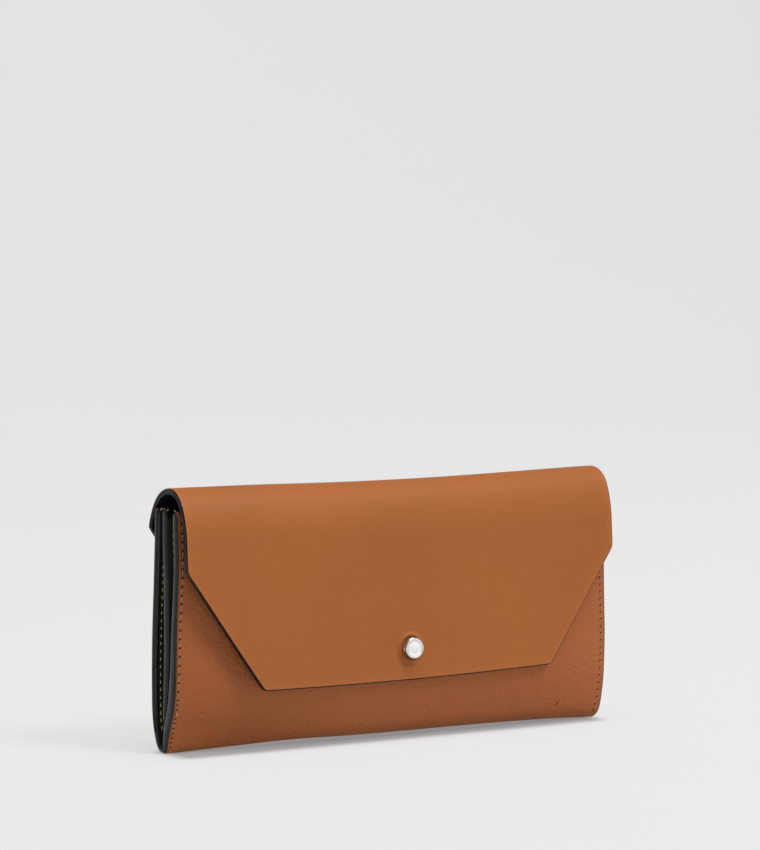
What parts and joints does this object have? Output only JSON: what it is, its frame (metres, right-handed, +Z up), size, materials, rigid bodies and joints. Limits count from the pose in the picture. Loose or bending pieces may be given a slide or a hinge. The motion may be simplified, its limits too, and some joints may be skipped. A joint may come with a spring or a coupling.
{
  "type": "long wallet",
  "caption": "Long envelope wallet in smooth leather, with a snap flap, gusseted pockets and a zipped divider.",
  "frame": {"origin": "on the flat base face, at mid length, in the middle plane of the zipped divider", "axes": "+X along the wallet, -Y towards the flap side, +Z up as it stands"},
  "size_m": [0.19, 0.0343, 0.1],
  "materials": {
    "tan_leather": "smooth tan leather, fine grain",
    "dark_lining": "matt dark olive-black lining leather",
    "gusset_leather": "matt dark gusset leather",
    "zip_tape": "woven dark tape",
    "zip_coil": "nickel-plated teeth",
    "zip_metal": "nickel-plated",
    "snap_metal": "polished nickel plate",
    "spring_metal": "spring steel"
  },
  "bodies": {
    "root": {"back_panel": "tan_leather", "back_lining": "dark_lining", "card_row_1": "dark_lining", "card_row_2": "dark_lining", "card_row_3": "dark_lining", "tail_leather": "tan_leather", "tail_lining": "dark_lining", "gusset_rear_left": "gusset_leather", "gusset_rear_right": "gusset_leather"},
    "divider": {"front_foot": "tan_leather", "front_foot_lining": "dark_lining", "front_pocket_floor": "dark_lining", "coin_leaf_rear": "dark_lining", "coin_leaf_front": "dark_lining", "zip_tape_rear": "zip_tape", "zip_tape_front": "zip_tape", "zip_coil_rear": "zip_coil", "zip_coil_front": "zip_coil", "zip_stop_left": "zip_metal", "zip_stop_right": "zip_metal", "zip_end_tabs": "tan_leather", "gusset_front_left": "gusset_leather", "gusset_front_right": "gusset_leather"},
    "front": {"front_panel": "tan_leather", "front_lining": "dark_lining", "front_slip_pocket": "dark_lining", "snap_stud": "snap_metal", "snap_rivet": "snap_metal"},
    "slider": {"zip_slider": "zip_metal"},
    "puller": {"pull_link": "zip_metal", "pull_tab": "tan_leather"},
    "roll_1": {"roll_leather_1": "tan_leather", "roll_lining_1": "dark_lining"},
    "roll_2": {"roll_leather_2": "tan_leather", "roll_lining_2": "dark_lining"},
    "roll_3": {"roll_leather_3": "tan_leather", "roll_lining_3": "dark_lining"},
    "flap": {"flap_leather": "tan_leather", "flap_lining": "dark_lining", "snap_cap": "snap_metal", "snap_socket": "snap_metal", "snap_spring": "spring_metal"}
  },
  "joints": [
    {"name": "flap_open", "type": "hinge", "parent": "root", "child": "roll_1", "pos_m": [0, 0.01023, 0.09336], "axis": [-1, 0, 0], "range_deg": [0, 45]},
    {"name": "roll_bend_2", "type": "hinge", "parent": "roll_1", "child": "roll_2", "pos_m": [0, 0.0042, 0.09918], "axis": [-1, 0, 0], "range_deg": [0, 45]},
    {"name": "roll_bend_3", "type": "hinge", "parent": "roll_2", "child": "roll_3", "pos_m": [0, -0.0042, 0.09918], "axis": [-1, 0, 0], "range_deg": [0, 45]},
    {"name": "flap_bend", "type": "hinge", "parent": "roll_3", "child": "flap", "pos_m": [0, -0.01023, 0.09336], "axis": [-1, 0, 0], "range_deg": [0, 45]},
    {"name": "rear_pocket_open", "type": "hinge", "parent": "root", "child": "divider", "pos_m": [0, -0.0039, 0.0019], "axis": [1, 0, 0], "range_deg": [0, 6], "deforming": ["gusset_rear_left", "gusset_rear_right"]},
    {"name": "front_pocket_open", "type": "hinge", "parent": "divider", "child": "front", "pos_m": [0, -0.0117, 0.01635], "axis": [1, 0, 0], "range_deg": [0, 6], "deforming": ["gusset_front_left", "gusset_front_right"]},
    {"name": "zip_slide", "type": "slide", "parent": "divider", "child": "slider", "axis": [1, 0, 0], "range_m": [0, 0.124]},
    {"name": "pull_lift", "type": "hinge", "parent": "slider", "child": "puller", "pos_m": [-0.068, 0, 0.08995], "axis": [0, -1, 0], "range_deg": [0, 90]}
  ],
  "couplings": [
    {"joint": "roll_bend_2", "follows": "flap_open", "ratio": 1},
    {"joint": "roll_bend_3", "follows": "flap_open", "ratio": 1},
    {"joint": "flap_bend", "follows": "flap_open", "ratio": 1},
    {"joint": "rear_pocket_open", "follows": "flap_open", "ratio": 0.13333},
    {"joint": "front_pocket_open", "follows": "flap_open", "ratio": 0.13333},
    {"joint": "pull_lift", "follows": "flap_open", "ratio": 2}
  ]
}
